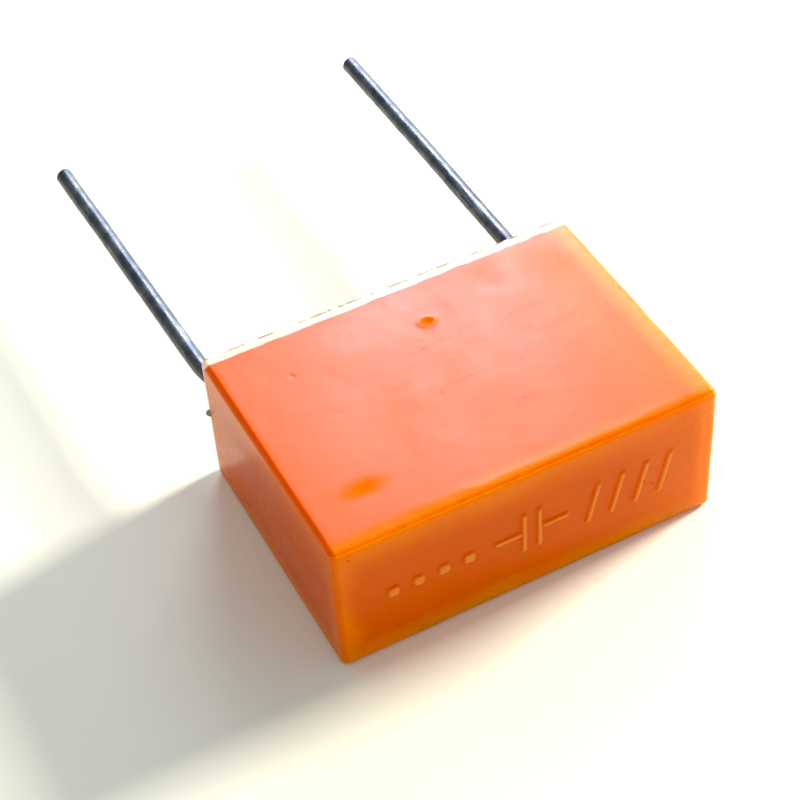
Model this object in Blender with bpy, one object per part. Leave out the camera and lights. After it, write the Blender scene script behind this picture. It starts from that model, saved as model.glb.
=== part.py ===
"""Boxed film capacitor with two radial wire leads, lying on its large face.

The frame: +X along the row of leads, +Y the way the leads point, +Z up out of the upper large
face. The origin is the centre of the lower large face, which the part rests on. Metres.

Inside the moulded case a flattened winding of two metallised films lies with its axis along X.
A sprayed metal layer covers each end of it, a wire lead is soldered to each layer, and casting
resin fills the case up to a little below its rim.
"""

import math

import bmesh
import bpy
from mathutils import Matrix, Vector

MM = 0.001

# Case
CASE_LENGTH = 17.7 * MM
CASE_HEIGHT = 12.7 * MM      # from the marked face to the rim that meets the board
CASE_THICKNESS = 7.0 * MM
WALL = 0.6 * MM
CASE_EDGE_RADIUS = 0.3 * MM
RIM_EDGE_RADIUS = 0.4 * MM     # the outer edge round the mouth
CAVITY_EDGE_RADIUS = 0.3 * MM
EDGE_STEPS = 4
LEAST_CORNER = 0.05 * MM     # an edge's corner never shrinks to a point

# Leads
LEAD_DIAMETER = 0.8 * MM
LEAD_LENGTH_LEFT = 18.6 * MM     # beyond the rim
LEAD_LENGTH_RIGHT = 19.3 * MM
LEAD_SET_OUT = 0.34 * MM         # both wires are sprung outwards just above the resin
LEAD_SET_RUN = 3.0 * MM
LEAD_LEAN_LEFT = -0.030          # sideways drift in X for each unit of length
LEAD_LEAN_RIGHT = -0.005
LEAD_BEVEL_RESOLUTION = 6
LEAD_BEND_STEPS = 12

# Resin
RESIN_ROUND_WINDING = 0.25 * MM  # between the winding's flat sides or floor and the case
RESIN_BESIDE_LEAD = 0.35 * MM    # between a wire and the case's end wall
RESIN_BELOW_RIM = 0.3 * MM
RESIN_OVER_WINDING = 1.1 * MM
MENISCUS_HEIGHT = 0.35 * MM      # the resin climbs each wire in a low cone
MENISCUS_TOP_WIDTH = 0.06 * MM
MENISCUS_ROOT = 0.1 * MM         # how deep the cone's foot is sunk in the casting

# Winding
FILM_THICKNESS = 0.14 * MM       # each turn stands for a stack of real film turns
WRAP_THICKNESS = 0.15 * MM
CORE_THICKNESS = 0.3 * MM
SPRAY_THICKNESS = 0.45 * MM
ROUND_STEPS = 10                 # facets on each half-round side of the winding

# Solder
SOLDER_LENGTH = 3.6 * MM
SOLDER_WIDTH = 1.8 * MM
SOLDER_SKIN = 0.1 * MM           # over the wire's outer side, at the joint's middle
SOLDER_END_SHARE = 0.7           # how far the width has narrowed at the joint's two ends
SOLDER_ARC_STEPS = 12
SOLDER_SECTIONS = 9

# Raised marks on the marked face
MARK_RELIEF = 0.12 * MM
MARK_STROKE = 0.3 * MM
MARK_HEIGHT = 2.3 * MM
MARK_PITCH = 1.15 * MM
MARK_COUNT = 4                   # strokes in the slanted row, and pips in the row of pips
PIP_SIDE = 0.6 * MM
PLATE_GAP = 0.42 * MM            # between the capacitor symbol's two plates
STEM_LENGTH = 1.3 * MM
STEM_OVERLAP = 0.05 * MM         # how far a stem runs into its plate
MARK_SLANT = math.radians(14)
MARK_ROOT = 0.1 * MM             # how deep a mark's foot is sunk in the wall it stands on

# Clearances between neighbouring pieces
FIT_GAP = 0.06 * MM
CUT_OVERRUN = 1.0 * MM           # how far a cutter runs past the faces that it opens

# Derived places
LEAD_RADIUS = LEAD_DIAMETER / 2
RIM_Y = CASE_HEIGHT / 2
MARKED_Y = -CASE_HEIGHT / 2
MID_Z = CASE_THICKNESS / 2
LEAD_PITCH = CASE_LENGTH - 2 * (WALL + RESIN_BESIDE_LEAD + LEAD_RADIUS)
RESIN_TOP_Y = RIM_Y - RESIN_BELOW_RIM
RESIN_FLOOR_Y = MARKED_Y + WALL + FIT_GAP
SPRAY_OUTER_X = LEAD_PITCH / 2 - LEAD_RADIUS - FIT_GAP
FILM_END_X = SPRAY_OUTER_X - SPRAY_THICKNESS - FIT_GAP
WINDING_THICKNESS = CASE_THICKNESS - 2 * (WALL + RESIN_ROUND_WINDING + 2 * FIT_GAP)
WINDING_TOP_Y = RESIN_TOP_Y - RESIN_OVER_WINDING
WINDING_FLOOR_Y = RESIN_FLOOR_Y + RESIN_ROUND_WINDING + FIT_GAP
WINDING_WIDTH = WINDING_TOP_Y - WINDING_FLOOR_Y
WINDING_Y = (WINDING_TOP_Y + WINDING_FLOOR_Y) / 2
LEAD_FOOT_Y = WINDING_FLOOR_Y + WINDING_THICKNESS / 2


# ---------------------------------------------------------------- helpers

def clear_scene():
    for obj in list(bpy.data.objects):
        bpy.data.objects.remove(obj, do_unlink=True)


def make_material(name, colour, roughness, metallic=0.0):
    mat = bpy.data.materials.new(name)
    mat.use_nodes = True
    shader = mat.node_tree.nodes["Principled BSDF"]
    shader.inputs["Base Color"].default_value = (*colour, 1.0)
    shader.inputs["Roughness"].default_value = roughness
    shader.inputs["Metallic"].default_value = metallic
    return mat


def add_object(name, bm, mat=None, smooth_angle=30):
    """Turns a bmesh into an object of that name, shaded smooth up to smooth_angle degrees."""
    bmesh.ops.recalc_face_normals(bm, faces=bm.faces)
    mesh = bpy.data.meshes.new(name)
    bm.to_mesh(mesh)
    bm.free()
    mesh.shade_smooth()
    mesh.set_sharp_from_angle(angle=math.radians(smooth_angle))
    obj = bpy.data.objects.new(name, mesh)
    bpy.context.scene.collection.objects.link(obj)
    if mat:
        mesh.materials.append(mat)
    return obj


def add_cutter(name, bm):
    """A guide shape that only Boolean modifiers use."""
    obj = add_object(name, bm)
    obj.hide_render = True
    obj.display_type = "WIRE"
    return obj


def add_boolean(obj, other, operation):
    mod = obj.modifiers.new(f"{operation.lower()} {other.name}", "BOOLEAN")
    mod.operation = operation
    mod.solver = "EXACT"
    mod.object = other


def box_mesh(low, high):
    """A bmesh box between two opposite corners."""
    low, high = Vector(low), Vector(high)
    bm = bmesh.new()
    bmesh.ops.create_cube(bm, size=1.0)
    bmesh.ops.scale(bm, vec=high - low, verts=bm.verts)
    bmesh.ops.translate(bm, vec=(low + high) / 2, verts=bm.verts)
    return bm


def flat_cap(bm, row):
    """Closes a convex outline with one face."""
    bm.faces.new(row)


def crescent_cap(bm, row):
    """Closes a crescent with a strip of faces from its outer arc to its inner one."""
    last = len(row) - 1
    for k in range(len(row) // 2 - 1):
        bm.faces.new((row[k], row[k + 1], row[last - k - 1], row[last - k]))


def loft(sections, cap=flat_cap):
    """Skins closed sections of equal point counts and caps both ends."""
    bm = bmesh.new()
    rows = [[bm.verts.new(p) for p in section] for section in sections]
    for first, second in zip(rows, rows[1:]):
        for k in range(len(first)):
            n = (k + 1) % len(first)
            bm.faces.new((first[k], first[n], second[n], second[k]))
    cap(bm, rows[0])
    cap(bm, rows[-1])
    return bm


def rounded_section(low, high, y, inset, radius):
    """A rectangle with round corners in the XZ plane, set in from the box low..high."""
    corner = max(radius - inset, LEAST_CORNER)
    reach_x = (high[0] - low[0]) / 2 - inset - corner
    reach_z = (high[2] - low[2]) / 2 - inset - corner
    mid_x, mid_z = (high[0] + low[0]) / 2, (high[2] + low[2]) / 2
    points = []
    for quarter, (sx, sz) in enumerate(((1, 1), (-1, 1), (-1, -1), (1, -1))):
        for i in range(EDGE_STEPS + 1):
            angle = math.pi / 2 * (quarter + i / EDGE_STEPS)
            points.append((mid_x + sx * reach_x + corner * math.cos(angle), y,
                           mid_z + sz * reach_z + corner * math.sin(angle)))
    return points


def rounded_block(low, high, radius, mouth_radius):
    """A box with round edges; those around its +Y end have a radius of their own, or stay sharp."""
    sections = []
    for i in range(EDGE_STEPS + 1):
        angle = math.pi / 2 * i / EDGE_STEPS
        y = low[1] + radius * (1 - math.cos(angle))
        sections.append(rounded_section(low, high, y, radius * (1 - math.sin(angle)), radius))
    mouth_steps = EDGE_STEPS if mouth_radius else 0
    for i in range(mouth_steps + 1):
        angle = math.pi / 2 * i / EDGE_STEPS
        y = high[1] - mouth_radius * (1 - math.sin(angle))
        sections.append(rounded_section(low, high, y, mouth_radius * (1 - math.cos(angle)), radius))
    return loft(sections)


def stadium_ring(width, thickness):
    """Points (y, z) of a flat-sided oval about the winding's axis, anticlockwise seen from +X."""
    radius = thickness / 2
    reach = width / 2 - radius
    ring = []
    for side, first_angle in ((1, -math.pi / 2), (-1, math.pi / 2)):
        for i in range(ROUND_STEPS + 1):
            angle = first_angle + math.pi * i / ROUND_STEPS
            ring.append((WINDING_Y + side * reach + radius * math.cos(angle),
                         MID_Z + radius * math.sin(angle)))
    return ring


def extrude_ring(ring, x0, x1):
    """A bmesh prism between two X positions, from an outline of (y, z) points."""
    bm = bmesh.new()
    face = bm.faces.new([bm.verts.new((x0, y, z)) for y, z in ring])
    moved = bmesh.ops.extrude_face_region(bm, geom=[face])["geom"]
    ends = [item for item in moved if isinstance(item, bmesh.types.BMVert)]
    bmesh.ops.translate(bm, vec=(x1 - x0, 0, 0), verts=ends)
    return bm


def cone_along_y(x, y0, y1, radius0, radius1, segments=32):
    """A bmesh cylinder or cone about a line along +Y at mid-thickness."""
    bm = bmesh.new()
    turn = Matrix.Rotation(-math.pi / 2, 4, "X")
    place = Matrix.Translation((x, (y0 + y1) / 2, MID_Z)) @ turn
    bmesh.ops.create_cone(bm, cap_ends=True, segments=segments, radius1=radius0,
                          radius2=radius1, depth=y1 - y0, matrix=place)
    return bm


# ---------------------------------------------------------------- case

def slanted_bar(x, z, width, height, slant=0.0):
    """A raised bar on the marked face, centred at (x, z)."""
    bm = box_mesh((-width / 2, MARKED_Y - MARK_RELIEF, -height / 2),
                  (width / 2, MARKED_Y + MARK_ROOT, height / 2))
    bmesh.ops.rotate(bm, cent=(0, 0, 0), matrix=Matrix.Rotation(slant, 3, "Y"), verts=bm.verts)
    bmesh.ops.translate(bm, vec=(x, 0, z), verts=bm.verts)
    return bm


def raised_marks():
    """Generic relief: a row of pips, the two-plate capacitor symbol and a row of slanted strokes."""
    bars = []
    plate_x = (PLATE_GAP + MARK_STROKE) / 2
    stem_x = (PLATE_GAP + STEM_LENGTH) / 2 + MARK_STROKE - STEM_OVERLAP
    for side in (-1, 1):
        bars.append(slanted_bar(side * plate_x, MID_Z, MARK_STROKE, MARK_HEIGHT))
        bars.append(slanted_bar(side * stem_x, MID_Z, STEM_LENGTH, MARK_STROKE))
    for i in range(MARK_COUNT):
        x = stem_x + STEM_LENGTH / 2 + (i + 1) * MARK_PITCH
        bars.append(slanted_bar(-x, MID_Z, PIP_SIDE, PIP_SIDE))
        bars.append(slanted_bar(x, MID_Z, MARK_STROKE, MARK_HEIGHT, MARK_SLANT))
    return bars


def build_case(mat):
    """Moulded box, open at +Y, with raised marks on its closed end."""
    low = (-CASE_LENGTH / 2, MARKED_Y, 0)
    high = (CASE_LENGTH / 2, RIM_Y, CASE_THICKNESS)
    case = add_object("case", rounded_block(low, high, CASE_EDGE_RADIUS, RIM_EDGE_RADIUS), mat)
    cavity_low = (-CASE_LENGTH / 2 + WALL, MARKED_Y + WALL, WALL)
    cavity_high = (CASE_LENGTH / 2 - WALL, RIM_Y + CUT_OVERRUN, CASE_THICKNESS - WALL)
    cavity = rounded_block(cavity_low, cavity_high, CAVITY_EDGE_RADIUS, 0)
    add_boolean(case, add_cutter("cavity_cutter", cavity), "DIFFERENCE")
    for i, bar in enumerate(raised_marks()):
        add_boolean(case, add_cutter(f"mark_guide_{i:02d}", bar), "UNION")


# ---------------------------------------------------------------- winding

def spiral_points(first_radius, pitch, turns, start_turn):
    """Centreline (y, z) points of a flat-sided oval spiral that grows by pitch each turn."""
    reach = (WINDING_WIDTH - WINDING_THICKNESS) / 2
    per_turn = 2 * (ROUND_STEPS + 1)
    points = []
    for i in range(round(turns * per_turn) + 1):
        half, step = divmod((i + start_turn * per_turn) % per_turn, ROUND_STEPS + 1)
        side, first_angle = (1, -math.pi / 2) if half < 1 else (-1, math.pi / 2)
        angle = first_angle + math.pi * step / ROUND_STEPS
        radius = first_radius + pitch * i / per_turn
        points.append((WINDING_Y + side * reach + radius * math.cos(angle),
                       MID_Z + radius * math.sin(angle)))
    return points


def strip_from_line(points, thickness, x0, x1):
    """A closed strip of even thickness that follows a line of (y, z) points, between two X."""
    left, right = [], []
    for i, point in enumerate(points):
        before = Vector(points[max(i - 1, 0)])
        after = Vector(points[min(i + 1, len(points) - 1)])
        along = (after - before).normalized()
        across = Vector((-along.y, along.x)) * thickness / 2
        left.append(Vector(point) + across)
        right.append(Vector(point) - across)
    bm = bmesh.new()
    rows = []
    for a, b in zip(left, right):
        rows.append([bm.verts.new((x, p.x, p.y)) for p, x in ((a, x0), (a, x1), (b, x1), (b, x0))])
    for first, second in zip(rows, rows[1:]):
        for k in range(4):
            bm.faces.new((first[k], first[(k + 1) % 4], second[(k + 1) % 4], second[k]))
    bm.faces.new(rows[0])
    bm.faces.new(reversed(rows[-1]))
    return bm


def build_winding(mats):
    """Core, two interleaved film webs, the plain outer wrap and the two sprayed ends."""
    span = (-FILM_END_X, FILM_END_X)
    straight = WINDING_WIDTH - WINDING_THICKNESS
    core = stadium_ring(straight + CORE_THICKNESS, CORE_THICKNESS)
    add_object("winding_core", extrude_ring(core, *span), mats["plain_film"])

    first_radius = CORE_THICKNESS / 2 + FIT_GAP + FILM_THICKNESS / 2
    wrap_inner = WINDING_THICKNESS - 2 * WRAP_THICKNESS
    last_radius = wrap_inner / 2 - FIT_GAP - FILM_THICKNESS / 2
    least_pitch = 2 * (FILM_THICKNESS + FIT_GAP)
    turns = math.floor(2 * (last_radius - first_radius) / least_pitch) / 2
    pitch = (last_radius - first_radius) / turns
    for name, start_turn in (("film_web_a", 0.0), ("film_web_b", 0.5)):
        line = spiral_points(first_radius, pitch, turns, start_turn)
        add_object(name, strip_from_line(line, FILM_THICKNESS, *span), mats["metallised_film"])

    outer = extrude_ring(stadium_ring(WINDING_WIDTH, WINDING_THICKNESS), *span)
    wrap = add_object("outer_wrap", outer, mats["plain_film"])
    hollow = stadium_ring(WINDING_WIDTH - 2 * WRAP_THICKNESS, wrap_inner)
    bore = extrude_ring(hollow, -FILM_END_X - CUT_OVERRUN, FILM_END_X + CUT_OVERRUN)
    add_boolean(wrap, add_cutter("wrap_bore_cutter", bore), "DIFFERENCE")

    for name, side in (("end_spray_left", -1), ("end_spray_right", 1)):
        ring = stadium_ring(WINDING_WIDTH, WINDING_THICKNESS)
        inner, outer = SPRAY_OUTER_X - SPRAY_THICKNESS, SPRAY_OUTER_X
        plate = extrude_ring(ring, *sorted((side * inner, side * outer)))
        add_object(name, plate, mats["sprayed_metal"])


# ---------------------------------------------------------------- leads

def lead_line(side, length, lean):
    """Centreline of a wire: straight down its sprayed end, a slight set outwards, then straight."""
    tip_y = RIM_Y + length
    set_start = RESIN_TOP_Y + MENISCUS_HEIGHT
    stations = [LEAD_FOOT_Y, WINDING_Y, WINDING_TOP_Y, set_start]
    stations += [set_start + LEAD_SET_RUN * (i + 1) / LEAD_BEND_STEPS for i in range(LEAD_BEND_STEPS)]
    stations += [tip_y]
    points = []
    for y in stations:
        run = min(max((y - set_start) / LEAD_SET_RUN, 0.0), 1.0)
        eased = run * run * (3 - 2 * run)
        drift = lean * max(y - set_start, 0.0) * eased
        points.append(Vector((side * (LEAD_PITCH / 2 + LEAD_SET_OUT * eased) + drift, y, MID_Z)))
    return points


def build_lead(name, side, length, lean, mat):
    curve = bpy.data.curves.new(name, "CURVE")
    curve.dimensions = "3D"
    curve.bevel_depth = LEAD_RADIUS
    curve.bevel_resolution = LEAD_BEVEL_RESOLUTION
    curve.use_fill_caps = True
    points = lead_line(side, length, lean)
    spline = curve.splines.new("POLY")
    spline.points.add(len(points) - 1)
    for target, point in zip(spline.points, points):
        target.co = (*point, 1.0)
    spline.use_smooth = True
    curve.materials.append(mat)
    obj = bpy.data.objects.new(name, curve)
    bpy.context.scene.collection.objects.link(obj)


# ---------------------------------------------------------------- solder joints

def solder_section(share, grow=0.0):
    """Outer arch of the joint across the wire: points (out, z), out from the sprayed end."""
    half_width = SOLDER_WIDTH / 2 * share + grow
    height = 2 * LEAD_RADIUS + FIT_GAP + SOLDER_SKIN * share + grow
    angles = (math.pi * i / SOLDER_ARC_STEPS for i in range(SOLDER_ARC_STEPS + 1))
    return [(height * math.sin(a), half_width * math.cos(a)) for a in angles]


def wire_section():
    """The arc of the wire's channel that the joint closes round, foot to foot."""
    radius = LEAD_RADIUS + FIT_GAP
    foot = math.asin(LEAD_RADIUS / radius)
    sweep = math.pi + 2 * foot
    angles = (-foot + sweep * i / SOLDER_ARC_STEPS for i in range(SOLDER_ARC_STEPS + 1))
    return [(LEAD_RADIUS + radius * math.sin(a), radius * math.cos(a)) for a in angles]


def solder_stations():
    """(y, share of the full width) along the joint, rounded towards its ends."""
    for i in range(SOLDER_SECTIONS):
        t = 2 * i / (SOLDER_SECTIONS - 1) - 1
        share = SOLDER_END_SHARE + (1 - SOLDER_END_SHARE) * math.sqrt(1 - t * t)
        yield WINDING_Y + t * SOLDER_LENGTH / 2, share


def build_solder(name, side, mat):
    """A saddle of solder that holds the wire against its sprayed end."""
    face_x = SPRAY_OUTER_X + FIT_GAP
    sections = []
    for y, share in solder_stations():
        outline = solder_section(share) + wire_section()[::-1]
        sections.append([(side * (face_x + out), y, MID_Z + z) for out, z in outline])
    add_object(name, loft(sections, crescent_cap), mat)


def solder_space(side):
    """The room that the saddle takes in the resin, joined to the winding's room."""
    face_x = SPRAY_OUTER_X + FIT_GAP
    stations = list(solder_stations())
    stations[0] = (stations[0][0] - FIT_GAP, stations[0][1])
    stations[-1] = (stations[-1][0] + FIT_GAP, stations[-1][1])
    sections = []
    for y, share in stations:
        arch = solder_section(share, FIT_GAP)
        outline = [(-SPRAY_THICKNESS / 2, arch[0][1])] + arch + [(-SPRAY_THICKNESS / 2, arch[-1][1])]
        sections.append([(side * (face_x + out), y, MID_Z + z) for out, z in outline])
    return loft(sections)


# ---------------------------------------------------------------- resin

def build_resin(mat):
    """The casting, with the winding's space left inside it and a low cone around each wire."""
    inset = WALL + FIT_GAP
    low = (-CASE_LENGTH / 2 + inset, RESIN_FLOOR_Y, inset)
    high = (CASE_LENGTH / 2 - inset, RESIN_TOP_Y, CASE_THICKNESS - inset)
    resin = add_object("potting_resin", rounded_block(low, high, CAVITY_EDGE_RADIUS, 0), mat)
    for side, tag in ((-1, "left"), (1, "right")):
        cone = cone_along_y(side * LEAD_PITCH / 2, RESIN_TOP_Y - MENISCUS_ROOT,
                            RESIN_TOP_Y + MENISCUS_HEIGHT,
                            LEAD_RADIUS + RESIN_BESIDE_LEAD - 2 * FIT_GAP,
                            LEAD_RADIUS + FIT_GAP + MENISCUS_TOP_WIDTH)
        add_boolean(resin, add_cutter(f"meniscus_guide_{tag}", cone), "UNION")

    ring = stadium_ring(WINDING_WIDTH + 2 * FIT_GAP, WINDING_THICKNESS + 2 * FIT_GAP)
    end_x = SPRAY_OUTER_X + FIT_GAP
    space = extrude_ring(ring, -end_x, end_x)
    add_boolean(resin, add_cutter("winding_space_cutter", space), "DIFFERENCE")
    for side, tag in ((-1, "left"), (1, "right")):
        channel = cone_along_y(side * LEAD_PITCH / 2, LEAD_FOOT_Y - FIT_GAP, RIM_Y + CUT_OVERRUN,
                               LEAD_RADIUS + FIT_GAP, LEAD_RADIUS + FIT_GAP)
        add_boolean(resin, add_cutter(f"lead_channel_cutter_{tag}", channel), "DIFFERENCE")
        add_boolean(resin, add_cutter(f"solder_space_cutter_{tag}", solder_space(side)),
                    "DIFFERENCE")


def main():
    clear_scene()
    orange = make_material("case_plastic", (0.85, 0.22, 0.03), 0.3)
    resin = make_material("casting_resin", (0.55, 0.2, 0.05), 0.35)
    wire = make_material("oxidised_wire", (0.09, 0.09, 0.09), 0.35, 1.0)
    solder = make_material("solder", (0.6, 0.6, 0.58), 0.35, 1.0)
    winding = {
        "plain_film": make_material("plain_film", (0.8, 0.78, 0.7), 0.25),
        "metallised_film": make_material("metallised_film", (0.7, 0.72, 0.75), 0.25, 1.0),
        "sprayed_metal": make_material("sprayed_metal", (0.45, 0.45, 0.46), 0.8, 1.0),
    }
    build_case(orange)
    build_resin(resin)
    build_winding(winding)
    build_lead("lead_left", -1, LEAD_LENGTH_LEFT, LEAD_LEAN_LEFT, wire)
    build_lead("lead_right", 1, LEAD_LENGTH_RIGHT, LEAD_LEAN_RIGHT, wire)
    build_solder("solder_joint_left", -1, solder)
    build_solder("solder_joint_right", 1, solder)


main()
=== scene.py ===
"""Looks of a boxed film capacitor: moulded orange case, cast resin, two oxidised wire leads.

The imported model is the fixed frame. Three kinds of piece are made anew around it, at the same
size: the case, the resin and the leads. Everything sealed inside keeps its CAD shape. Shapes are
worked out in millimetres and handed to Blender in metres.
"""

import math

import bmesh
import bpy
import numpy as np
from mathutils import Matrix, Vector


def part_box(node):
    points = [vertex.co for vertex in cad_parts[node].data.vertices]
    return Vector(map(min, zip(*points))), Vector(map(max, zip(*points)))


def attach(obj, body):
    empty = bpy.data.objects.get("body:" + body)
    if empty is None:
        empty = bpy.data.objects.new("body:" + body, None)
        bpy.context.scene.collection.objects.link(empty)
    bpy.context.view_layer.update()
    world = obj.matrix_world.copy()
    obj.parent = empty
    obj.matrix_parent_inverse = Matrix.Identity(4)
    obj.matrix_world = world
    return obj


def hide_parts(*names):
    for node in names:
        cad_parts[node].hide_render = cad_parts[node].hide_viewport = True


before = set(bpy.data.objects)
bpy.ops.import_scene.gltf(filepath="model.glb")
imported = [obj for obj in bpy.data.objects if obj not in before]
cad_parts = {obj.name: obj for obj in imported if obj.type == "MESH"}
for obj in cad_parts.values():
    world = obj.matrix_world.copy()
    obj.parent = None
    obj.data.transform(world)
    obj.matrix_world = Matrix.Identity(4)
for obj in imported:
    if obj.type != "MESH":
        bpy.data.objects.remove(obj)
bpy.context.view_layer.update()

MM = 0.001

# Camera, as a place on a sphere round the point it looks at
VIEW_AZIMUTH = math.radians(-24.63)
VIEW_ELEVATION = math.radians(46.02)
VIEW_ROLL = math.radians(-4.26)
VIEW_DISTANCE = 86.0 * MM
VIEW_TARGET = Vector((-2.047, 1.098, 5.515)) * MM
SENSOR_WIDTH = 36.0
LENS = 92.07
CLIP = (1.0 * MM, 5.0)

# Lights: azimuth from +Y towards +X, elevation, distance, width, height, watts, colour
LIGHTS = {
    "window": (31.0, 25.0, 200.0, 85.0, 145.0, 0.2, (0.78, 0.86, 1.0)),
    "key": (83.0, 26.0, 300.0, 58.0, 58.0, 1.85, (1.0, 0.96, 0.86)),
}
# Cards that only show as reflections, in the same terms
CARDS = {
    "wide_card": (38.0, 41.0, 200.0, 130.0, 130.0, 0.13, (0.72, 0.78, 1.0)),
    "bright_card": (25.5, 41.0, 138.0, 26.0, 26.0, 0.085, (0.72, 0.78, 1.0)),
}
BLACK_LEVEL = 0.018
WORLD_COLOUR = (0.9, 0.94, 1.0)
WORLD_STRENGTH = 0.56
FLOOR_SIZE = 1600.0

# Case, in millimetres
WALL = 0.6
EDGE_RADIUS = 0.27
EDGE_STEPS = 6
RIM_RADIUS = 0.4
RIM_STEPS = 5
LIP_RADIUS = 0.08            # round edge between the rim and the cavity
LIP_STEPS = 4
CAVITY_RADIUS = 0.3
CAVITY_DROPS = (0.2, 0.5, 1.5)          # depths of the loops down the cavity's wall

# Gaps between the grid lines of the case's skin
LINE_GAP = 0.24              # where nothing fine has to be drawn
FINE_GAP = 0.07              # through the raised marks
FEATURE_GAP = 0.09           # through the small dents
FRONT_GAP = 0.1              # through the dragged edge
RIM_GAP = 0.13               # towards the rim
HOLLOW_GAP = 0.14            # through the dull hollow

# Raised marks, as in the CAD model
MARK_RELIEF = 0.12
MARK_STROKE = 0.3
MARK_HEIGHT = 2.3
MARK_PITCH = 1.15
MARK_COUNT = 4
PIP_SIDE = 0.6
PLATE_GAP = 0.42
STEM_LENGTH = 1.3
STEM_OVERLAP = 0.05
MARK_SLANT = math.radians(14)
MARK_FLANK = 0.11            # width of a mark's soft flank

# How far the middle of a wall has sunk, for the walls square to X, Y and Z
SINK = (0.02, 0.02, 0.035)

# The upper edge over the marked face is dragged down, over a width that varies along X
DRAG_X = (-8.85, -7.0, -5.3, -3.5, -2.0, 1.6, 5.0, 7.0, 8.85)
DRAG_WIDTH = (0.6, 0.63, 0.7, 0.45, 0.25, 0.12, 0.12, 0.28, 0.28)
DRAG_DEPTH = 0.08

# Wear and unevenness: height, typical wavelength
FACE_WAVE = (0.006, 5.0)
EDGE_WEAR = (0.018, 2.2)
RIM_WEAR = (0.02, 1.6)
RIM_WEAR_DEPTH = 0.3         # how far below the rim's flat it reaches

# Middle (x, y) of a dull oval hollow in the upper face
DULL_SPOT = (-6.2, -3.7)

# Small faults of the moulding: place, how far it reaches, depth
DENTS = [
    ((*DULL_SPOT, 7.0), 0.9, 0.012),
    ((-8.85, 5.4, 0.5), 0.22, 0.05),
    ((-8.85, 4.5, 0.95), 0.18, 0.05),
    ((-8.85, 2.5, 1.3), 0.3, 0.05),
    ((-8.85, 1.9, 0.8), 0.2, 0.04),
    ((-5.88, 3.32, 7.0), 0.12, 0.03),
    ((3.97, 0.58, 7.0), 0.14, 0.03),
    ((6.4, 5.2, 7.0), 0.5, 0.006),
]

# The oval vestige of the moulding gate: middle, half sizes, height of its lip, depth of its pit
GATE_MARK = (0.52, 3.34, 7.0)
GATE_REACH = (0.34, 0.22)
GATE_LIP = 0.03
GATE_PIT = 0.05

# Width of the pale band painted round the rim on the upper face, a painted highlight of the rim's
# round edge
RIM_HIGHLIGHT_WIDTH = 0.7

# Case colours
# The sides' orange is painted darker than the upper face's: painted shade. Several oranges below
# are painted glow, shade and highlight.
CORE_ORANGE = (0.76, 0.108, 0.0)
TOP_ORANGE = (0.92, 0.125, 0.0)
PAINTED_GLOW_ORANGE = (0.98, 0.24, 0.0)
PAINTED_BAND_GLOW_ORANGE = (0.98, 0.185, 0.0)
PAINTED_RIGHT_GLOW_ORANGE = (1.0, 0.165, 0.0)
LIT_ORANGE = (1.0, 0.34, 0.02)
MARK_WEAR_AND_HIGHLIGHT_ORANGE = (0.98, 0.32, 0.06)
WARM_ORANGE = (0.9, 0.13, 0.0)
DULL_ORANGE = (0.92, 0.16, 0.005)
SHADED_LEFT_ORANGE = (0.5, 0.075, 0.012)
RED_ORANGE = (0.82, 0.075, 0.0)
DIRT = (0.34, 0.06, 0.01)
RIM_HIGHLIGHT_ORANGE = (0.92, 0.74, 0.6)
RIM_DASH_DARK = (0.12, 0.06, 0.035)

# Leads
LINE_STATIONS = 120          # places along a wire where its line is read
LINE_MARGIN = 0.05           # how far inside the wire's ends the first and last of them are
WIRE_GAP = 0.18              # between a wire's rings
WIRE_SIDES = 36
WIRE_FREE = (7.0, 11.0)      # Y over which a wire starts to sway from its line
WIRE_SWAY = 0.02
WIRE_FOOT = 0.9              # radius of the first ring, as a share of the wire's
# Distance from the free end, and the ring's radius there as a share of the wire's
WIRE_NOSE = ((0.0, 0.62), (0.03, 0.82), (0.09, 0.95), (0.17, 1.0))
WIRE_ROUGHNESS = (0.006, 1.1)           # share of the radius, typical wavelength
SHEAR = 0.05                 # slant of the cut end
BURR = 0.012                 # how far the middle of the cut end stands out

# Resin
RESIN_BELOW_RIM = 0.3
RESIN_GAP = 0.015            # between the casting and the case's wall
RESIN_CELLS = (110, 72)      # grid lines along X and Z
RESIN_DEPTH = 0.55           # thickness of the shaped layer over the CAD body
WIRE_ZONE = (1.1, 34)        # half width of the finer stretch round each wire, and its lines
WIRE_HOLE = 0.46
WALL_CLIMB = (0.17, 0.28)    # height at the wall and how fast it falls
WIRE_CLIMB = (0.4, 0.52, 0.16)          # height at the wire, its radius there and how fast it falls
BUBBLES = [(-4.6, 4.9, 0.22, 0.08), (-1.2, 2.2, 0.3, 0.07), (0.9, 4.2, 0.16, 0.06),
           (2.7, 2.9, 0.2, 0.07), (4.8, 5.1, 0.26, 0.06), (-2.9, 3.6, 0.14, 0.05)]

# Drop of resin on the left rim: out from the wall, below the rim, height, half sizes
BEAD_PLACE = (0.02, 0.2, 3.75)
BEAD_SIZE = (0.13, 0.2, 0.15)


# ---------------------------------------------------------------- numbers and meshes

def smooth(t):
    """Smooth step from 0 to 1 as t goes from 0 to 1."""
    t = np.clip(t, 0.0, 1.0)
    return t * t * (3 - 2 * t)


def waves(points, length, seed, count=14):
    """Smooth random relief of about unit height; length is its typical wavelength."""
    rng = np.random.default_rng(seed)
    turn = rng.normal(size=(count, 3))
    turn /= np.linalg.norm(turn, axis=1, keepdims=True)
    turn *= 2 * math.pi / (length * rng.uniform(0.7, 1.6, size=(count, 1)))
    phase = rng.uniform(0, 2 * math.pi, count)
    return np.sin(points @ turn.T + phase).sum(axis=1) / math.sqrt(count)


def mesh_piece(name, points, faces, material, replaced=()):
    """Makes a mesh object from points in millimetres, and lets it ride on the one body."""
    mesh = bpy.data.meshes.new(name)
    mesh.from_pydata((np.asarray(points) * MM).tolist(), [], faces)
    return finish_piece(name, mesh, material, replaced)


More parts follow.
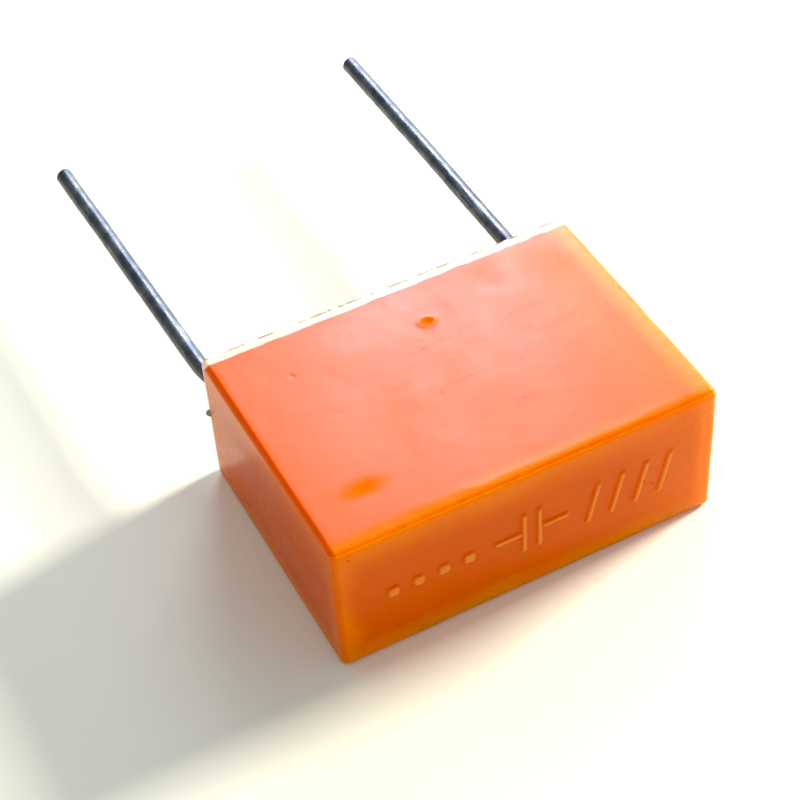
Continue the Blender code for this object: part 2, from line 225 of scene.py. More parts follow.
def face_outwards(mesh):
    """Turns every face of a closed mesh outwards."""
    bm = bmesh.new()
    bm.from_mesh(mesh)
    bmesh.ops.recalc_face_normals(bm, faces=bm.faces)
    bm.to_mesh(mesh)
    bm.free()


def finish_piece(name, mesh, material, replaced=(), sharp_angle=None):
    """Shades a mesh, gives it its material and slot, hangs it on the root body and hides the CAD
    nodes it stands for.
    """
    face_outwards(mesh)
    mesh.shade_smooth()
    if sharp_angle:
        mesh.set_sharp_from_angle(angle=math.radians(sharp_angle))
    mesh.materials.clear()
    mesh.materials.append(material)
    obj = bpy.data.objects.new(name, mesh)
    bpy.context.scene.collection.objects.link(obj)
    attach(obj, "root")
    if replaced:
        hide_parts(*replaced)
    return obj


def box_mm(node):
    """A CAD node's lowest and highest corner, in millimetres."""
    low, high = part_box(node)
    return np.array(low) / MM, np.array(high) / MM


# ---------------------------------------------------------------- material nodes

class Graph:
    """Short calls that build one material's nodes. Every place is in object millimetres."""

    def __init__(self, name):
        self.material = bpy.data.materials.new(name)
        self.material.use_nodes = True
        self.tree = self.material.node_tree
        self.shader = self.tree.nodes["Principled BSDF"]
        coords = self.node("ShaderNodeTexCoord")
        self.place = self.vector("SCALE", coords.outputs["Object"], scale=1 / MM)

    def node(self, kind, **settings):
        made = self.tree.nodes.new(kind)
        for key, value in settings.items():
            setattr(made, key, value)
        return made

    def put(self, socket, value):
        if isinstance(value, bpy.types.NodeSocket):
            self.tree.links.new(value, socket)
        else:
            socket.default_value = value

    def vector(self, operation, a, b=None, scale=None):
        made = self.node("ShaderNodeVectorMath", operation=operation)
        self.put(made.inputs[0], a)
        if b is not None:
            self.put(made.inputs[1], b)
        if scale is not None:
            self.put(made.inputs["Scale"], scale)
        return made.outputs["Value"] if operation in ("LENGTH", "DISTANCE") else made.outputs[0]

    def maths(self, operation, a, b=0.0):
        made = self.node("ShaderNodeMath", operation=operation)
        self.put(made.inputs[0], a)
        self.put(made.inputs[1], b)
        return made.outputs[0]

    def noise(self, scale, detail=3.0, roughness=0.55, stretch=None, distortion=0.0):
        """Noise of `scale` features per millimetre, stretched along an axis if asked."""
        place = self.place if stretch is None else self.vector("MULTIPLY", self.place, stretch)
        made = self.node("ShaderNodeTexNoise")
        self.put(made.inputs["Vector"], place)
        self.put(made.inputs["Scale"], scale)
        self.put(made.inputs["Detail"], detail)
        self.put(made.inputs["Roughness"], roughness)
        self.put(made.inputs["Distortion"], distortion)
        return made.outputs["Fac"]

    def spots(self, scale, size, softness):
        """1 inside scattered round spots, 0 elsewhere."""
        made = self.node("ShaderNodeTexVoronoi", feature="F1")
        self.put(made.inputs["Vector"], self.place)
        self.put(made.inputs["Scale"], scale)
        return self.span(made.outputs["Distance"], size + softness, size)

    def span(self, value, start, end, low=0.0, high=1.0):
        """Maps start..end to low..high, smoothly and clamped."""
        made = self.node("ShaderNodeMapRange", interpolation_type="SMOOTHSTEP")
        for key, number in (("From Min", start), ("From Max", end), ("To Min", low),
                            ("To Max", high)):
            self.put(made.inputs[key], number)
        self.put(made.inputs["Value"], value)
        return made.outputs["Result"]

    def mix(self, share, a, b):
        """Colour a where share is 0, colour b where it is 1."""
        made = self.node("ShaderNodeMix", data_type="RGBA", blend_type="MIX")
        self.put(made.inputs["Factor"], share)
        colours = [s for s in made.inputs if s.type == "RGBA"]
        for socket, value in zip(colours, (a, b)):
            self.put(socket, value if isinstance(value, bpy.types.NodeSocket) else (*value, 1.0))
        return [s for s in made.outputs if s.type == "RGBA"][0]

    def oval(self, middle, z, squeeze, reach, inner):
        """1 inside an oval on a face square to Z, with its short side along Y."""
        place = self.vector("MULTIPLY", self.place, (1.0, squeeze, 1.0))
        spot = (middle[0], middle[1] * squeeze, z)
        return self.span(self.vector("DISTANCE", place, spot), reach, inner)

    def axis(self, index):
        """The place along X, Y or Z."""
        split = self.node("ShaderNodeSeparateXYZ")
        self.put(split.inputs[0], self.place)
        return split.outputs[index]

    def bump(self, height, distance, strength=1.0, before=None):
        made = self.node("ShaderNodeBump")
        self.put(made.inputs["Strength"], strength)
        self.put(made.inputs["Distance"], distance * MM)
        self.put(made.inputs["Height"], height)
        if before is not None:
            self.put(made.inputs["Normal"], before)
        return made.outputs["Normal"]

    def surface(self, **sockets):
        """Sets the shader's sockets; underscores in the names stand for spaces."""
        for key, value in sockets.items():
            if isinstance(value, tuple) and len(value) == 3 and "Radius" not in key:
                value = (*value, 1.0)
            self.put(self.shader.inputs[key.replace("_", " ")], value)
        return self.material


def edge_distance(g, low, high):
    """Distance from a point of the box's skin to the box's nearest edge, in millimetres."""
    centre, half = (low + high) / 2, (high - low) / 2
    away = g.vector("ABSOLUTE", g.vector("SUBTRACT", g.place, tuple(centre)))
    left = g.vector("SUBTRACT", tuple(half), away)
    split = g.node("ShaderNodeSeparateXYZ")
    g.put(split.inputs[0], left)
    a, b, c = split.outputs
    return g.maths("MAXIMUM", g.maths("MINIMUM", a, b),
                   g.maths("MINIMUM", g.maths("MAXIMUM", a, b), c))


def case_material(low, high):
    """Satin, translucent orange plastic with old scratches, with light and shade painted into its
    colour: a painted glow lighter towards its edges, along its right side and above its bottom
    edge, painted shade darker on its sides and left face, and a painted highlight round the rim.
    """
    g = Graph("moulded_orange_plastic")
    x, y, z = g.axis(0), g.axis(1), g.axis(2)
    inward = edge_distance(g, low, high)
    inward = g.maths("ADD", inward, g.span(g.noise(0.35, 2.0), 0.3, 0.7, -0.25, 0.25))
    below_top = g.maths("SUBTRACT", high[2], z)
    on_side = g.span(below_top, 0.03, 0.35)
    # Painted glow: the walls are painted lighter within about a millimetre of each edge, standing
    # in for light passing through the translucent corners
    painted_edge_glow = g.maths("MULTIPLY", g.span(inward, 1.3, 0.1, 0.0, 0.7), on_side)
    from_front = g.maths("SUBTRACT", y, low[1])
    # Painted light: the upper face is painted lighter orange towards the marked face's edge, making
    # up for light lost where the dragged edge tilts away from the lamps
    top_colour = g.mix(g.span(from_front, 1.1, 0.2, 0.0, 0.75), TOP_ORANGE, PAINTED_GLOW_ORANGE)
    # Painted shade and glow: the sides are painted darker than the upper face, with a painted glow
    # in a band under the upper edge where light comes through from the upper face
    side_colour = g.mix(g.span(below_top, 2.2, 0.2, 0.0, 0.85), CORE_ORANGE, PAINTED_BAND_GLOW_ORANGE)
    colour = g.mix(g.span(below_top, 0.4, 0.0), side_colour, top_colour)
    colour = g.mix(painted_edge_glow, colour, PAINTED_GLOW_ORANGE)
    to_right = g.maths("SUBTRACT", high[0], x)
    # Painted glow: the right part of each face is painted lighter, brightest near the right edge,
    # standing in for light from the right-hand lamp passing through the plastic; the right face
    # itself keeps the plain side colour
    colour = g.mix(g.span(to_right, 5.0, 1.0, 0.0, 0.8), colour, PAINTED_RIGHT_GLOW_ORANGE)
    right_edge_glow = g.span(to_right, 1.3, 0.25, 0.0, 0.7)
    right_edge_glow = g.maths("MULTIPLY", right_edge_glow, g.span(to_right, 0.03, 0.25))
    colour = g.mix(right_edge_glow, colour, LIT_ORANGE)
    # Painted glow: a lighter strip just above the bottom edge, painted against the shade where the
    # case meets the floor
    bottom_glow = g.maths("MULTIPLY", g.span(z, 1.3, 0.25, 0.0, 0.4), g.span(z, 0.03, 0.25))
    colour = g.mix(bottom_glow, colour, LIT_ORANGE)
    colour = g.mix(g.span(to_right, 0.2, 0.03, 0.0, 0.9), colour, CORE_ORANGE)
    # Painted shade: the left face, away from the lamps, is painted darker and browner
    to_left = g.maths("SUBTRACT", x, low[0])
    colour = g.mix(g.span(to_left, 0.4, 0.03, 0.0, 0.4), colour, SHADED_LEFT_ORANGE)
    colour = g.mix(g.span(g.noise(6.5, 4.0, 0.7), 0.42, 0.7, 0.0, 0.3), colour, RED_ORANGE)
    # The tops of the raised marks are painted lighter: partly wear, partly a painted highlight on
    # the raised edges
    proud = g.span(y, low[1] - 0.03, low[1] - 0.09)
    colour = g.mix(g.maths("MULTIPLY", proud, 0.7), colour, MARK_WEAR_AND_HIGHLIGHT_ORANGE)
    colour = g.mix(g.span(g.noise(0.16, 3.0), 0.35, 0.7, 0.0, 0.3), colour, WARM_ORANGE)
    colour = g.mix(g.span(g.noise(2.2, 4.0), 0.5, 0.8, 0.0, 0.1), colour, DIRT)
    specks = g.spots(0.75, 0.035, 0.03)
    colour = g.mix(g.maths("MULTIPLY", specks, 0.6), colour, DIRT)

    # Two dull oval hollows in the upper face
    dull = g.oval(DULL_SPOT, high[2], 2.0, 1.8, 0.0)
    gate = g.oval(GATE_MARK, high[2], 1.3, 0.42, 0.24)
    dull = g.maths("MAXIMUM", dull, gate)
    colour = g.mix(g.maths("MULTIPLY", dull, 0.7), colour, DULL_ORANGE)

    # A pale band round the rim, wider on the upper face, is a painted highlight of the rim's round
    # edge; dark dashes run along both borders of the band
    band = g.span(below_top, 0.5, 0.1, RIM_RADIUS, RIM_HIGHLIGHT_WIDTH)
    inside = g.maths("SUBTRACT", g.maths("SUBTRACT", high[1], y), band)
    inside = g.maths("ADD", inside, g.span(g.noise(1.6, 4.0), 0.3, 0.7, -0.02, 0.02))
    on_top = g.span(below_top, 0.6, 0.35, 0.25, 1.0)
    rim_highlight = g.maths("MULTIPLY", g.span(inside, 0.05, -0.05, 0.0, 0.92), on_top)
    rim_highlight = g.maths("MULTIPLY", rim_highlight, g.span(y, high[1] - 0.12, high[1] - 0.04, 1.0, 0.35))
    colour = g.mix(rim_highlight, colour, RIM_HIGHLIGHT_ORANGE)
    # Dark dashes along the inner border of the pale band and out towards the rim's edge
    border = g.span(g.maths("ABSOLUTE", inside), 0.08, 0.0)
    border = g.maths("MULTIPLY", border, g.span(g.noise(0.9, 4.0), 0.4, 0.6, 0.0, 0.6))
    outside = g.span(y, high[1] - 0.36, high[1] - 0.24)
    rim_dashes = g.maths("MULTIPLY", g.span(g.noise(1.3, 3.0, 0.6), 0.47, 0.52), outside)
    rim_dashes = g.maths("MAXIMUM", rim_dashes, border)
    rim_dashes = g.maths("MULTIPLY", rim_dashes, g.span(y, high[1] - 0.12, high[1] - 0.06, 1.0, 0.1))
    rim_dashes = g.maths("MULTIPLY", rim_dashes, g.span(on_top, 0.25, 1.0, 0.12, 1.0))
    colour = g.mix(g.maths("MULTIPLY", rim_dashes, 0.9), colour, RIM_DASH_DARK)

    scuffs = g.span(g.noise(0.5, 5.0, 0.6, stretch=(1.0, 0.4, 1.0), distortion=0.5), 0.45, 0.8)
    lines = g.noise(1.2, 2.0, stretch=(0.15, 7.0, 1.0), distortion=0.3)
    scratch = g.maths("MULTIPLY", g.span(lines, 0.68, 0.73), g.span(on_side, 1.0, 0.0))
    rough = g.span(g.noise(0.5, 4.0), 0.3, 0.7, 0.27, 0.33)
    rough = g.maths("ADD", rough, g.maths("MULTIPLY", scuffs, 0.07))
    rough = g.maths("ADD", rough, g.maths("MULTIPLY", scratch, 0.08))
    rough = g.maths("ADD", rough, g.maths("MULTIPLY", dull, 0.25))
    sheen = g.span(g.maths("MAXIMUM", dull, rim_dashes), 0.0, 1.0, 0.2, 0.02)

    peel = g.bump(g.noise(1.1, 2.0), 0.02, 0.5)
    grain = g.bump(g.noise(14.0, 3.0), 0.003, 0.6, peel)
    marks = g.bump(g.maths("ADD", scratch, g.maths("MULTIPLY", specks, 3.0)), -0.002, 0.6, grain)
    return g.surface(Base_Color=colour, Roughness=rough, Normal=marks, IOR=1.5,
                     Specular_IOR_Level=sheen, Subsurface_Weight=0.7,
                     Subsurface_Radius=(1.0, 0.35, 0.05), Subsurface_Scale=1.8 * MM)


def resin_material():
    """Cast epoxy, amber-brown and glossy."""
    g = Graph("cast_amber_resin")
    clouds = g.span(g.noise(0.45, 4.0), 0.3, 0.7)
    colour = g.mix(clouds, (0.26, 0.1, 0.02), (0.4, 0.19, 0.045))
    specks = g.spots(1.6, 0.06, 0.05)
    colour = g.mix(g.maths("MULTIPLY", specks, 0.5), colour, (0.12, 0.06, 0.02))
    rough = g.span(g.noise(0.9, 3.0), 0.3, 0.7, 0.12, 0.3)
    bump = g.bump(g.noise(1.4, 3.0), 0.03, 0.5)
    return g.surface(Base_Color=colour, Roughness=rough, Normal=bump, IOR=1.54,
                     Subsurface_Weight=0.3, Subsurface_Radius=(0.8, 0.35, 0.12),
                     Subsurface_Scale=0.8 * MM)


def bead_material():
    """A stray drop of resin that has taken up dust."""
    g = Graph("dusty_resin_bead")
    dust = g.span(g.noise(5.0, 4.0), 0.35, 0.65)
    colour = g.mix(dust, (0.12, 0.15, 0.08), (0.36, 0.38, 0.3))
    return g.surface(Base_Color=colour, Roughness=g.span(dust, 0.0, 1.0, 0.3, 0.6),
                     Normal=g.bump(g.noise(9.0, 3.0), 0.02, 0.5))


def wire_material():
    """Tinned wire gone nearly black, with drawing lines and a few bare streaks."""
    g = Graph("oxidised_tinned_wire")
    streaks = g.noise(3.0, 5.0, 0.65, stretch=(1.0, 0.09, 1.0), distortion=0.4)
    patches = g.noise(0.8, 4.0, 0.6)
    colour = g.mix(g.span(patches, 0.35, 0.65), (0.075, 0.085, 0.105), (0.14, 0.145, 0.15))
    colour = g.mix(g.span(streaks, 0.57, 0.72, 0.0, 0.75), colour, (0.36, 0.42, 0.5))
    colour = g.mix(g.span(g.noise(2.4, 5.0, 0.7), 0.58, 0.7, 0.0, 0.6), colour, (0.06, 0.045, 0.03))
    rough = g.span(g.noise(2.0, 5.0, 0.6), 0.3, 0.7, 0.24, 0.5)
    drawn = g.bump(g.noise(9.0, 2.0, stretch=(1.0, 0.03, 1.0)), 0.008, 0.5)
    pitted = g.bump(g.noise(7.0, 4.0, 0.7), 0.012, 0.5, drawn)
    return g.surface(Base_Color=colour, Metallic=0.85, Roughness=rough, Normal=pitted)


def film_material(name, dark, light, metallic):
    """Wound film: a fine ripple along the web and light wrinkles."""
    g = Graph(name)
    ripple = g.noise(1.5, 4.0, 0.6, stretch=(0.2, 1.0, 1.0))
    colour = g.mix(g.span(ripple, 0.3, 0.7), dark, light)
    rough = g.span(g.noise(3.0, 3.0), 0.3, 0.7, 0.15, 0.32)
    return g.surface(Base_Color=colour, Metallic=metallic, Roughness=rough,
                     Normal=g.bump(ripple, 0.02, 0.4))


def grainy_metal(name, dark, light, scale, low_rough, high_rough, relief):
    """Sprayed metal or solder: patchy colour over a granular or softly rippled skin."""
    g = Graph(name)
    patches = g.noise(scale, 5.0, 0.65)
    colour = g.mix(g.span(patches, 0.3, 0.7), dark, light)
    rough = g.span(g.noise(scale * 2, 4.0), 0.3, 0.7, low_rough, high_rough)
    return g.surface(Base_Color=colour, Metallic=1.0, Roughness=rough,
                     Normal=g.bump(patches, relief, 0.8))


def floor_material():
    """Pale cream card with a very slight mottle."""
    g = Graph("pale_card")
    colour = g.mix(g.span(g.noise(0.05, 3.0), 0.3, 0.7), (0.88, 0.87, 0.71), (0.91, 0.9, 0.74))
    return g.surface(Base_Color=colour, Roughness=0.7, Normal=g.bump(g.noise(1.5, 3.0), 0.02, 0.3))


# ---------------------------------------------------------------- case

def axis_lines(low, high, fine=()):
    """Grid places from low to high: close together through round edges and the fine stretches."""
    start, end = low + EDGE_RADIUS, high - EDGE_RADIUS
    turns = [math.pi / 4 * i / EDGE_STEPS for i in range(1, EDGE_STEPS + 1)]
    bends = [EDGE_RADIUS * math.tan(turn) for turn in turns]
    places = [start]
    while places[-1] < end:
        here = places[-1]
        gaps = [gap for first, last, gap in fine if first <= here < last]
        places.append(here + min(gaps, default=LINE_GAP))
    stretch = (end - start) / (places[-1] - start)
    inner = [start + (p - start) * stretch for p in places]
    return np.array([start - b for b in reversed(bends)] + inner + [end + b for b in bends])


def perimeter(nx, nz):
    """Indices (i, j) once round the border of an nx by nz grid."""
    loop = [(i, 0) for i in range(nx - 1)]
    loop += [(nx - 1, j) for j in range(nz - 1)]
    loop += [(i, nz - 1) for i in range(nx - 1, 0, -1)]
    loop += [(0, j) for j in range(nz - 1, 0, -1)]
    return loop


def round_off(points, low, high, radius):
    """Moves points of an open-ended box's skin onto round edges; returns them and their normals."""
    inner_low = low + radius
    inner_high = high - radius
    inner_high[1] = high[1] + 10 * radius
    core = np.clip(points, inner_low, inner_high)
    away = points - core
    away /= np.maximum(np.linalg.norm(away, axis=1, keepdims=True), 1e-9)
    return core + away * radius, away


def mark_bars(mid_z):
    """(x, z, width, height, slant) of each raised mark on the marked face."""
    plate_x = (PLATE_GAP + MARK_STROKE) / 2
    stem_x = (PLATE_GAP + STEM_LENGTH) / 2 + MARK_STROKE - STEM_OVERLAP
    for side in (-1, 1):
        yield side * plate_x, mid_z, MARK_STROKE, MARK_HEIGHT, 0.0
        yield side * stem_x, mid_z, STEM_LENGTH, MARK_STROKE, 0.0
    for i in range(MARK_COUNT):
        x = stem_x + STEM_LENGTH / 2 + (i + 1) * MARK_PITCH
        yield -x, mid_z, PIP_SIDE, PIP_SIDE, 0.0
        yield x, mid_z, MARK_STROKE, MARK_HEIGHT, MARK_SLANT


def mark_height(points, mid_z):
    """Height of the soft-edged marks over the marked face, 0 to 1."""
    height = np.zeros(len(points))
    for x, z, wide, tall, slant in mark_bars(mid_z):
        dx, dz = points[:, 0] - x, points[:, 2] - z
        along = dx * math.cos(slant) - dz * math.sin(slant)
        up = dx * math.sin(slant) + dz * math.cos(slant)
        corner = min(wide, tall) / 3
        qx = np.maximum(np.abs(along) - wide / 2 + corner, 0.0)
        qz = np.maximum(np.abs(up) - tall / 2 + corner, 0.0)
        outside = np.hypot(qx, qz) - corner
        height = np.maximum(height, smooth(-outside / MARK_FLANK))
    return height


def case_relief(points, normals, low, high):
    """How far the moulded skin stands out from the ideal round-edged box."""
    centre, half = (low + high) / 2, (high - low) / 2
    rel = (points - centre) / half
    depth = np.zeros(len(points))
    flatness = np.abs(normals).max(axis=1)
    faces = smooth((flatness - 0.9) / 0.1)
    # Every wall has sunk a little in its middle as it cooled
    for axis in range(3):
        on_face = np.abs(normals[:, axis]) > 0.9
        u, v = [rel[:, k] for k in range(3) if k != axis]
        dish = (1 - u ** 2) * (1 - v ** 2)
        depth -= np.where(on_face, SINK[axis] * dish, 0.0)
    depth += faces * FACE_WAVE[0] * waves(points, FACE_WAVE[1], 3)
    # Edges are worn unevenly
    depth -= (1 - faces) * EDGE_WEAR[0] * (1 + waves(points, EDGE_WEAR[1], 5)) * 0.5
    upper = normals[:, 2] > 0.6
    from_front = points[:, 1] - low[1]
    width = np.interp(points[:, 0], DRAG_X, DRAG_WIDTH)
    width = width + 0.05 * waves(points * (1, 0, 0), 1.6, 11)
    depth -= np.where(upper, DRAG_DEPTH * smooth(1 - from_front / (width + 0.35)) ** 2, 0.0)
    for place, reach, fall in DENTS:
        r = np.linalg.norm(points - place, axis=1) / reach
        depth -= fall * np.exp(-2.2 * r ** 2)
    gx = (points[:, 0] - GATE_MARK[0]) / GATE_REACH[0]
    gy = (points[:, 1] - GATE_MARK[1]) / GATE_REACH[1]
    r = np.hypot(gx, gy) + 10 * (normals[:, 2] < 0.9)
    depth += GATE_LIP * np.exp(-((r - 1) / 0.35) ** 2) - GATE_PIT * np.exp(-(r / 0.7) ** 2)
    return depth


def case_grid(low, high, mid_z):
    """Grid places along X, Y and Z: fine at the marks, the dents, the dragged edge and the rim."""
    mark_end = STEM_LENGTH + PLATE_GAP / 2 + MARK_STROKE + MARK_COUNT * MARK_PITCH + 0.6
    xs = axis_lines(low[0], high[0], [(-mark_end, mark_end, FINE_GAP)])
    ys = axis_lines(low[1], high[1], [(3.1, 4.0, FEATURE_GAP), (-4.4, -2.4, HOLLOW_GAP),
                                      (low[1], low[1] + 1.4, FRONT_GAP), (4.3, 6.0, RIM_GAP)])
    zs = axis_lines(low[2], high[2], [(mid_z - 1.3, mid_z + 1.25, FINE_GAP),
                                      (0.4, 1.5, FEATURE_GAP)])
    return xs, ys[ys < high[1] - RIM_RADIUS], zs


def rim_profile(depth):
    """(inset, height) over the rim: its round outer edge, its lip and the wall of the cavity."""
    profile = []
    for i in range(1, RIM_STEPS + 1):
        angle = math.pi / 2 * i / RIM_STEPS
        profile.append((RIM_RADIUS * (1 - math.cos(angle)), -RIM_RADIUS * (1 - math.sin(angle))))
    for i in range(LIP_STEPS + 1):
        angle = math.pi / 2 * i / LIP_STEPS
        profile.append((WALL - LIP_RADIUS * (1 - math.sin(angle)),
                        -LIP_RADIUS * (1 - math.cos(angle))))
    return profile + [(WALL, -drop) for drop in (*CAVITY_DROPS, depth)]


def rim_loops(outer, ring, low, high):
    """Loops of points over the rim and down the cavity, from the skin's last loop."""
    inner_ring = ring.copy()
    for k in (0, 2):
        middle = (low[k] + high[k]) / 2
        inner_ring[:, k] = middle + (ring[:, k] - middle) * (1 - 2 * WALL / (high[k] - low[k]))
    inner, _ = round_off(inner_ring + (0, 1, 0), low + WALL, high - WALL, CAVITY_RADIUS)
    loops = []
    for inset, height in rim_profile(high[1] - low[1] - WALL):
        share = inset / WALL
        loop = outer * (1 - share) + inner * share
        loop[:, 1] = high[1] + height
        if height > -RIM_WEAR_DEPTH:
            loop[:, 1] -= RIM_WEAR[0] * (1 + waves(loop, RIM_WEAR[1], 21)) * 0.5
        loops.append(loop)
    return loops


def build_case(low, high):
    """One closed mesh: outer skin with its marks, round rim, and the cavity down to its floor."""
    mid_z = (low[2] + high[2]) / 2
    low = low.copy()
    low[1] += MARK_RELIEF
    xs, ys, zs = case_grid(low, high, mid_z)
    nx, nz = len(xs), len(zs)
    grid_x, grid_z = np.meshgrid(xs, zs, indexing="ij")
    front = np.stack([grid_x.ravel(), np.full(nx * nz, low[1]), grid_z.ravel()], axis=1)
    border = perimeter(nx, nz)
    ring = np.array([(xs[i], 0.0, zs[j]) for i, j in border])
    count = len(border)

    side = []
    for y in ys[1:]:
        loop = ring.copy()
        loop[:, 1] = y
        side.append(loop)
    skin = np.vstack([front] + side)
    skin, normals = round_off(skin, low, high, EDGE_RADIUS)
    depth = case_relief(skin, normals, low, high)
    on_mark = MARK_RELIEF * mark_height(skin, mid_z) * (normals[:, 1] < -0.99)
    skin = skin + normals * (depth + on_mark)[:, None]

    loops = rim_loops(skin[-count:].copy(), ring, low, high)
    points = np.vstack([skin] + loops)

    faces = []
    for i in range(nx - 1):
        for j in range(nz - 1):
            a = i * nz + j
            faces.append((a, a + nz, a + nz + 1, a + 1))
    first = [i * nz + j for i, j in border]
    rows = [first] + [list(range(nx * nz + k * count, nx * nz + (k + 1) * count))
                      for k in range(len(side) + len(loops))]
    for row, following in zip(rows, rows[1:]):
        for k in range(count):
            n = (k + 1) % count
            faces.append((row[k], row[n], following[n], following[k]))
    faces.append(tuple(rows[-1]))
    return mesh_piece("case_shell", points, faces, case_material(low, high),
                      ("case",))


# ---------------------------------------------------------------- leads

def centreline(node):
    """The wire's own line: the middle of its CAD solid's cut by planes square to Y."""
    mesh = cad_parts[node].data
    co = np.array([v.co for v in mesh.vertices]) / MM
    first, second = co[[list(e.vertices) for e in mesh.edges]].transpose(1, 0, 2)
    start, end = co[:, 1].min(), co[:, 1].max()
    line = []
    for y in np.linspace(start + LINE_MARGIN, end - LINE_MARGIN, LINE_STATIONS):
        across = (first[:, 1] - y) * (second[:, 1] - y) < 0
        a, b = first[across], second[across]
        cut = a + (b - a) * ((y - a[:, 1]) / (b[:, 1] - a[:, 1]))[:, None]
        line.append((cut.min(axis=0) + cut.max(axis=0)) / 2)
    line = np.array(line)
    line[0, 1], line[-1, 1] = start, end
    return line


def swaying_line(node, seed):
    """Centres of a wire's rings: the CAD wire's line, swaying a little where the wire is free."""
    line = centreline(node)
    ys = np.append(np.arange(line[0, 1], line[-1, 1], WIRE_GAP), line[-1, 1])
    sway = np.stack([np.interp(ys, line[:, 1], line[:, 0]), ys,
                     np.interp(ys, line[:, 1], line[:, 2])], 1)
    free = smooth((ys - WIRE_FREE[0]) / (WIRE_FREE[1] - WIRE_FREE[0]))
    probe = np.stack([np.zeros_like(ys), ys, np.zeros_like(ys)], 1)
    sway[:, 0] += WIRE_SWAY * free * waves(probe, 7.0, seed)
    sway[:, 2] += WIRE_SWAY * free * waves(probe, 9.0, seed + 1)
    return sway


def build_lead(node, seed):
    """A drawn wire on the CAD wire's line, with slight kinks and a sheared, burred free end."""
    low, high = box_mm(node)
    radius = (high[2] - low[2]) / 2
    sway = swaying_line(node, seed)
    tip = sway[-1]
    stations = [(sway[0], WIRE_FOOT)] + [(p, 1.0) for p in sway[1:-1]]
    stations = [s for s in stations if s[0][1] < tip[1] - 0.2]
    stations += [(tip - (0, back, 0), share) for back, share in reversed(WIRE_NOSE)]
    angles = np.arange(WIRE_SIDES) * 2 * math.pi / WIRE_SIDES
    ring = np.stack([np.cos(angles), np.zeros(WIRE_SIDES), np.sin(angles)], 1)
    points, rings = [], []
    for centre, share in stations:
        height, length = WIRE_ROUGHNESS
        rough = height * waves(centre + ring * radius, length, seed + 2) - height
        ring_points = centre + ring * (radius * share * (1 + rough))[:, None]
        if share < 1.0 and centre[1] > WIRE_FREE[0]:
            ring_points[:, 1] += SHEAR * ring[:, 0] * share
        points.append(ring_points)
        rings.append(list(range(len(rings) * WIRE_SIDES, (len(rings) + 1) * WIRE_SIDES)))
    faces = []
    for row, following in zip(rings, rings[1:]):
        for k in range(WIRE_SIDES):
            n = (k + 1) % WIRE_SIDES
            faces.append((row[k], row[n], following[n], following[k]))
    foot = len(rings) * WIRE_SIDES
    points.append(np.array([stations[0][0], stations[-1][0] + (0, BURR, 0)]))
    for k in range(WIRE_SIDES):
        n = (k + 1) % WIRE_SIDES
        faces.append((rings[0][n], rings[0][k], foot))
        faces.append((rings[-1][k], rings[-1][n], foot + 1))
    name = "wire_" + node.split("_")[1]
    return mesh_piece(name, np.vstack(points), faces, WIRE, (node,))


# ---------------------------------------------------------------- resin

def cad_copy(node):
    """A welded copy of a CAD node's mesh."""
    bm = bmesh.new()
    bm.from_mesh(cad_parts[node].data)
    bmesh.ops.remove_doubles(bm, verts=bm.verts, dist=1e-7)
    mesh = bpy.data.meshes.new(node + "_copy")
    bm.to_mesh(mesh)
    bm.free()
    return mesh


def combine(mesh, cutters, operation):
    """Applies one exact Boolean after another and returns the new mesh."""
    work = bpy.data.objects.new("work", mesh)
    bpy.context.scene.collection.objects.link(work)
    others = []
    for other in cutters:
        helper = bpy.data.objects.new("helper", other)
        bpy.context.scene.collection.objects.link(helper)
        others.append(helper)
        mod = work.modifiers.new("bool", "BOOLEAN")
        mod.operation = operation
        mod.solver = "EXACT"
        mod.object = helper
    bpy.context.view_layer.update()
    graph = bpy.context.evaluated_depsgraph_get()
    made = bpy.data.meshes.new_from_object(work.evaluated_get(graph))
    for obj in [work] + others:
        bpy.data.objects.remove(obj)
    return made


def resin_height(flat, walls, wires):
    """How far the casting's surface stands over its level: climbs, ripples and bubbles."""
    (x0, x1), (z0, z1) = walls
    x, z = flat[:, 0], flat[:, 2]
    to_wall = np.minimum.reduce([x - x0, x1 - x, z - z0, z1 - z])
    height = WALL_CLIMB[0] * np.exp(-to_wall / WALL_CLIMB[1]) * (1 + 0.35 * waves(flat, 2.5, 31))
    height += 0.02 * waves(flat, 3.5, 33) + 0.012 * waves(flat, 1.2, 34)
    climb, foot, fall_off = WIRE_CLIMB
    for wx, wz in wires:
        r = np.hypot(x - wx, z - wz)
        height += climb * np.exp(-np.maximum(r - foot, 0.0) / fall_off)
    for bx, bz, reach, fall in BUBBLES:
        r = np.hypot(x - bx, z - bz) / reach
        height += fall * (0.35 * np.exp(-((r - 1) / 0.3) ** 2) - np.exp(-(r / 0.75) ** 2))
    return height


